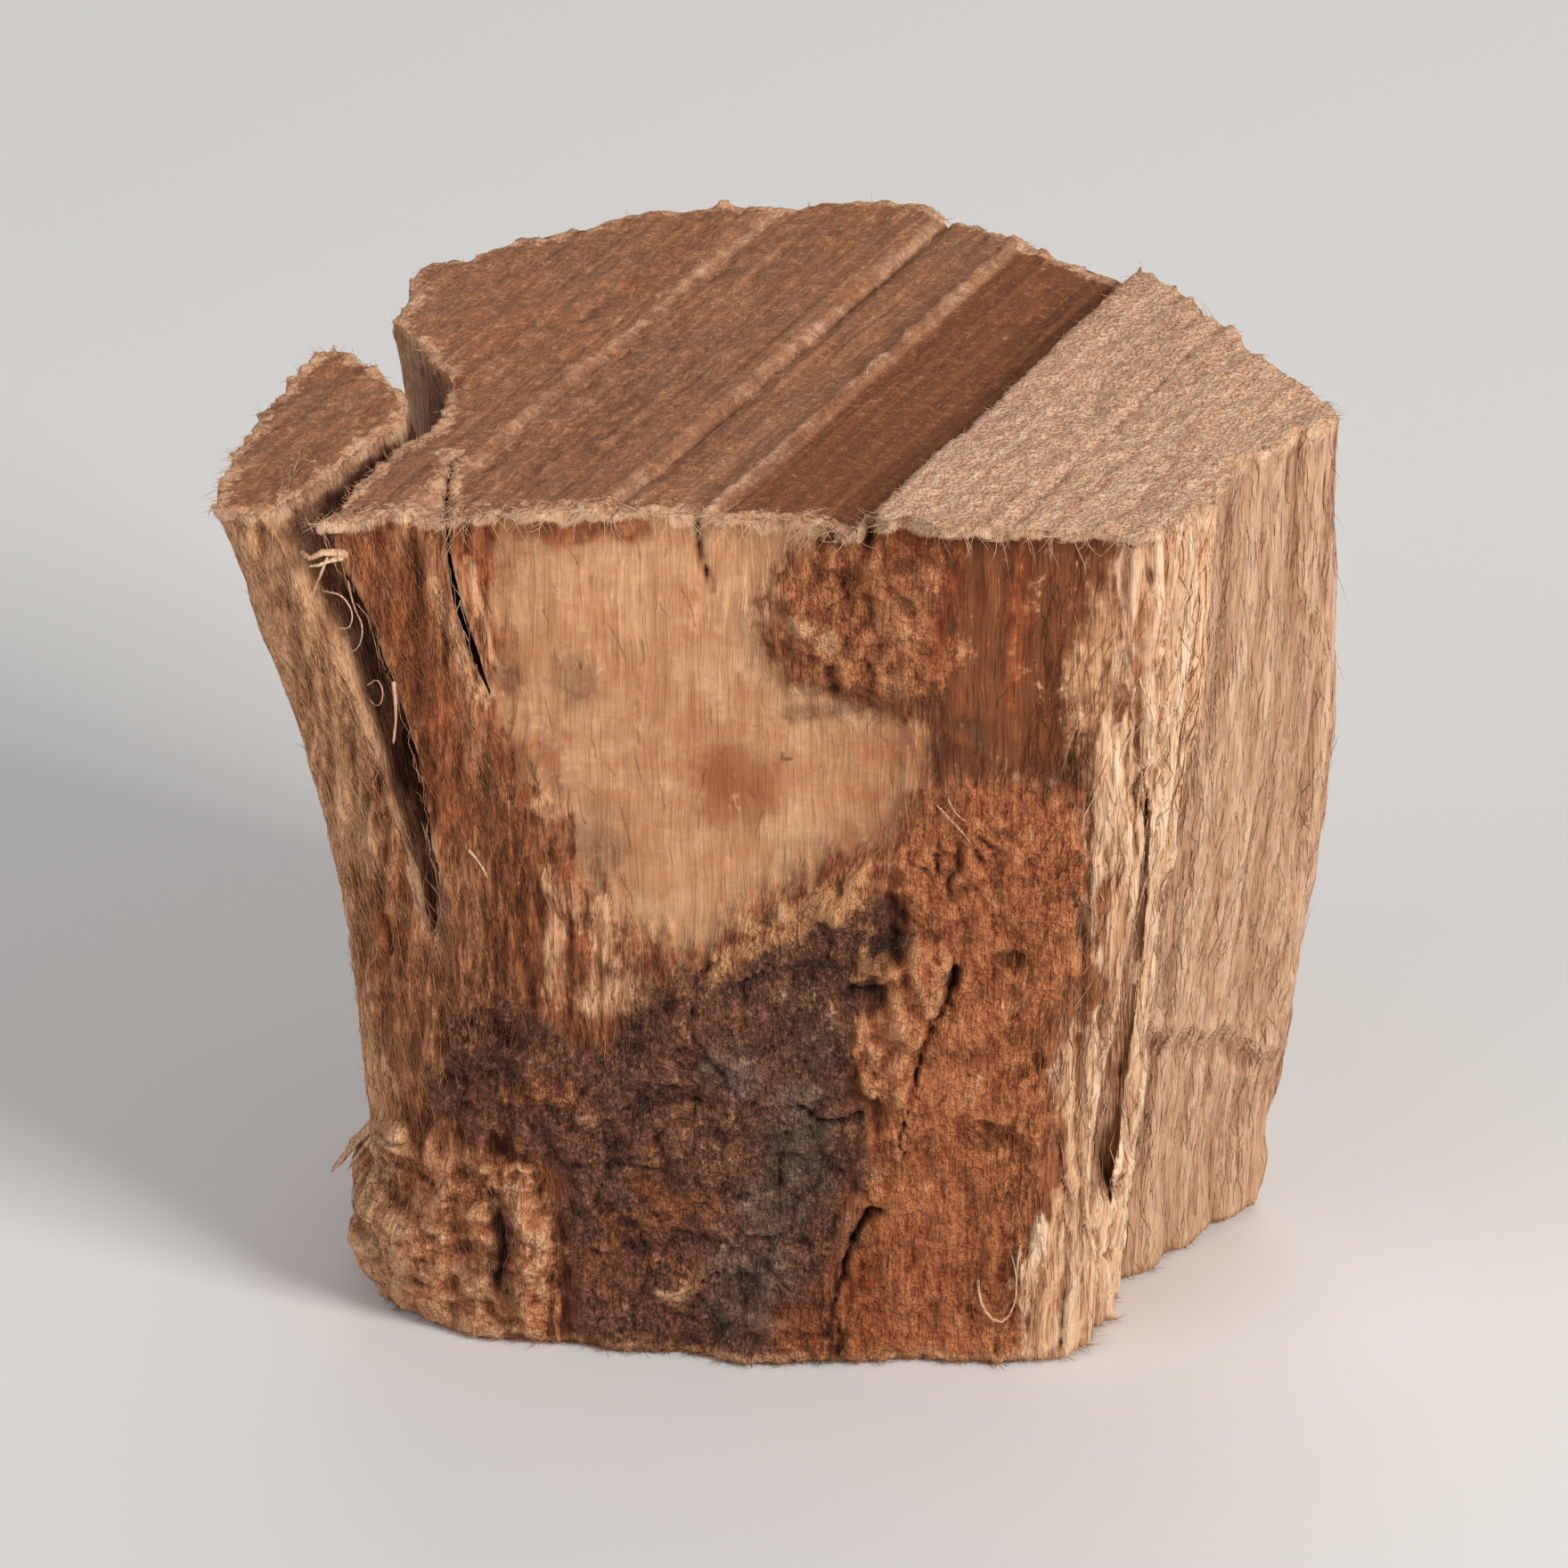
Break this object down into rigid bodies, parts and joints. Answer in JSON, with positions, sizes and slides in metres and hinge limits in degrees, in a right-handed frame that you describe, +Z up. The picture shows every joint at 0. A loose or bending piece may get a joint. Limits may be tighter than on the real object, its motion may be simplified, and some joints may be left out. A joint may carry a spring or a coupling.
{
  "type": "smoking wood chunk",
  "caption": "Fist-sized block of split log, sawn across both ends, with bark on one side and a loose sliver, for smoke in a barbecue.",
  "frame": {"origin": "middle of the bounding box's underside, on the surface that the chunk stands on", "axes": "+Z up along the grain, +Y from the bark-covered front towards the split back, +X to the right seen from the front"},
  "size_m": [0.0808, 0.063, 0.0687],
  "materials": {
    "wood": "dry split hardwood with bark, matt, rough and fibrous, unfinished"
  },
  "bodies": {
    "root": {"wood_chunk": "wood"}
  },
  "joints": []
}
